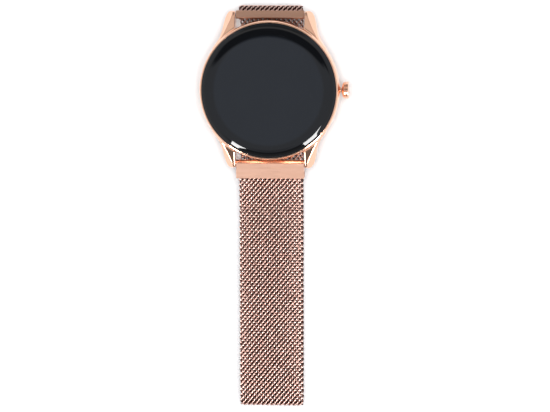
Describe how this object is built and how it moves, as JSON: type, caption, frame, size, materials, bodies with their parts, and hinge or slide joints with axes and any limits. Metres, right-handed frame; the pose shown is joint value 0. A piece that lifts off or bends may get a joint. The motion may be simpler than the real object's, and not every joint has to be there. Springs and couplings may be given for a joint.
{
  "type": "round smartwatch",
  "caption": "Round smartwatch with a domed black glass, one crown and a woven metal strap whose long half is folded back under the case.",
  "frame": {"origin": "middle of the outer face of the heart-rate sensor window, on the case's axis", "axes": "+X towards the crown (3 o'clock), +Y towards 12 o'clock along the strap, +Z out of the cover glass"},
  "size_m": [0.0427, 0.116, 0.0125],
  "materials": {
    "polished_rose_gold": "polished rose gold plate",
    "satin_rose_gold": "satin rose gold plate, fine grain along the strap width",
    "woven_rose_gold": "woven wire, rose gold plate",
    "cover_glass": "black domed glass with a printed back, gloss",
    "display": "gloss",
    "black_plastic": "fine matte",
    "sensor_glass": "gloss",
    "rubber_black": "soft",
    "steel": "turned steel",
    "steel_bright": "nickel plate",
    "board_green": "solder mask",
    "chip_black": "moulded epoxy",
    "flex_amber": "polyimide film",
    "battery_foil": "pouch foil",
    "wire_red": "insulation",
    "white_film": "film",
    "contact_gold": "gold plate",
    "led_lens": "clear epoxy"
  },
  "bodies": {
    "case": {"case_middle": "polished_rose_gold", "cover_glass": "cover_glass", "glass_seal": "rubber_black", "display_panel": "display", "display_backlight": "white_film", "display_flex": "flex_amber", "inner_frame": "black_plastic", "main_board": "board_green", "board_chips": "chip_black", "shield_can": "steel_bright", "battery": "battery_foil", "battery_leads": "wire_red", "antenna": "contact_gold", "motor_can": "steel_bright", "motor_shaft": "steel", "crown_tube": "polished_rose_gold", "crown_switch": "chip_black", "rear_cover": "black_plastic", "rear_gasket": "rubber_black", "rear_screws": "steel", "sensor_window": "sensor_glass", "sensor_board": "board_green", "sensor_leds": "led_lens", "sensor_flex": "flex_amber", "charging_contacts": "contact_gold", "charging_magnets": "steel_bright"},
    "crown_plunger": {"switch_plunger": "steel_bright"},
    "crown": {"crown_stem": "steel", "crown_head": "polished_rose_gold", "crown_clip": "steel", "crown_seals": "rubber_black"},
    "motor_weight": {"motor_rotor": "steel"},
    "strap_short": {"link_short": "satin_rose_gold", "spring_bar_short": "steel", "release_spring_short": "steel", "mesh_short_root": "woven_rose_gold"},
    "release_short": {"release_pin_short": "steel"},
    "strap_short_fold_1": {"mesh_short_fold_1": "woven_rose_gold"},
    "strap_short_fold_2": {"mesh_short_fold_2": "woven_rose_gold"},
    "strap_short_fold_3": {"mesh_short_fold_3": "woven_rose_gold"},
    "strap_short_fold_4": {"mesh_short_fold_4": "woven_rose_gold"},
    "strap_short_end": {"mesh_short_tail": "woven_rose_gold", "clamp_short": "satin_rose_gold", "buckle_pin": "polished_rose_gold"},
    "buckle": {"buckle_frame": "polished_rose_gold"},
    "strap_long": {"link_long": "satin_rose_gold", "spring_bar_long": "steel", "release_spring_long": "steel", "mesh_long_front": "woven_rose_gold"},
    "release_long": {"release_pin_long": "steel"},
    "strap_long_fold_1": {"mesh_long_fold_1": "woven_rose_gold"},
    "strap_long_fold_2": {"mesh_long_fold_2": "woven_rose_gold"},
    "strap_long_fold_3": {"mesh_long_fold_3": "woven_rose_gold"},
    "strap_long_fold_4": {"mesh_long_fold_4": "woven_rose_gold"},
    "strap_long_fold_5": {"mesh_long_fold_5": "woven_rose_gold"},
    "strap_long_end": {"mesh_long_tail": "woven_rose_gold", "magnet_housing": "satin_rose_gold", "magnet_block": "steel", "magnet_cover": "satin_rose_gold"}
  },
  "joints": [
    {"name": "crown_press", "type": "slide", "parent": "case", "child": "crown_plunger", "axis": [-1, 0, 0], "range_m": [0, 0.0004], "stiffness_N_per_m": 2500, "springref_m": -0.0002},
    {"name": "crown_turn", "type": "hinge", "parent": "crown_plunger", "child": "crown", "pos_m": [0.0185, 0, 0.0054], "axis": [1, 0, 0], "continuous": true},
    {"name": "motor_spin", "type": "hinge", "parent": "case", "child": "motor_weight", "pos_m": [0.0094, -0.0058, 0.005], "axis": [0, 0, 1], "continuous": true},
    {"name": "strap_short_swing", "type": "hinge", "parent": "case", "child": "strap_short", "pos_m": [0, 0.02135, 0.0046], "axis": [1, 0, 0], "range_deg": [0, 100]},
    {"name": "release_short_slide", "type": "slide", "parent": "strap_short", "child": "release_short", "axis": [1, 0, 0], "range_m": [0, 0.0013], "stiffness_N_per_m": 400, "springref_m": -0.0005, "deforming": ["release_spring_short"]},
    {"name": "strap_long_swing", "type": "hinge", "parent": "case", "child": "strap_long", "pos_m": [0, -0.02135, 0.0046], "axis": [-1, 0, 0], "range_deg": [0, 65]},
    {"name": "release_long_slide", "type": "slide", "parent": "strap_long", "child": "release_long", "axis": [1, 0, 0], "range_m": [0, 0.0013], "stiffness_N_per_m": 400, "springref_m": -0.0005, "deforming": ["release_spring_long"]},
    {"name": "strap_short_unfold", "type": "hinge", "parent": "strap_short", "child": "strap_short_fold_1", "pos_m": [0, 0.02295, 0.00348], "axis": [1, 0, 0], "range_deg": [0, 29]},
    {"name": "strap_short_hinge_2", "type": "hinge", "parent": "strap_short_fold_1", "child": "strap_short_fold_2", "pos_m": [0, 0.02328, 0.0028], "axis": [1, 0, 0], "range_deg": [0, 29]},
    {"name": "strap_short_hinge_3", "type": "hinge", "parent": "strap_short_fold_2", "child": "strap_short_fold_3", "pos_m": [0, 0.02316, 0.00057], "axis": [1, 0, 0], "range_deg": [0, 29]},
    {"name": "strap_short_hinge_4", "type": "hinge", "parent": "strap_short_fold_3", "child": "strap_short_fold_4", "pos_m": [0, 0.02276, -0.00008], "axis": [1, 0, 0], "range_deg": [0, 29]},
    {"name": "strap_short_hinge_5", "type": "hinge", "parent": "strap_short_fold_4", "child": "strap_short_end", "pos_m": [0, 0.02209, -0.00045], "axis": [1, 0, 0], "range_deg": [0, 29]},
    {"name": "strap_long_unfold", "type": "hinge", "parent": "strap_long", "child": "strap_long_fold_1", "pos_m": [0, -0.0903, 0.00188], "axis": [-1, 0, 0], "range_deg": [0, 28.67]},
    {"name": "strap_long_hinge_2", "type": "hinge", "parent": "strap_long_fold_1", "child": "strap_long_fold_2", "pos_m": [0, -0.09091, 0.00142], "axis": [-1, 0, 0], "range_deg": [0, 28.67]},
    {"name": "strap_long_hinge_3", "type": "hinge", "parent": "strap_long_fold_2", "child": "strap_long_fold_3", "pos_m": [0, -0.09123, 0.00072], "axis": [-1, 0, 0], "range_deg": [0, 28.67]},
    {"name": "strap_long_hinge_4", "type": "hinge", "parent": "strap_long_fold_3", "child": "strap_long_fold_4", "pos_m": [0, -0.09118, -0.00004], "axis": [-1, 0, 0], "range_deg": [0, 28.67]},
    {"name": "strap_long_hinge_5", "type": "hinge", "parent": "strap_long_fold_4", "child": "strap_long_fold_5", "pos_m": [0, -0.09077, -0.00068], "axis": [-1, 0, 0], "range_deg": [0, 28.67]},
    {"name": "strap_long_hinge_6", "type": "hinge", "parent": "strap_long_fold_5", "child": "strap_long_end", "pos_m": [0, -0.0901, -0.00105], "axis": [-1, 0, 0], "range_deg": [0, 28.67]},
    {"name": "buckle_turn", "type": "hinge", "parent": "strap_short_end", "child": "buckle", "pos_m": [0, 0.0151, -0.00045], "axis": [1, 0, 0], "range_deg": [0, 90]}
  ]
}
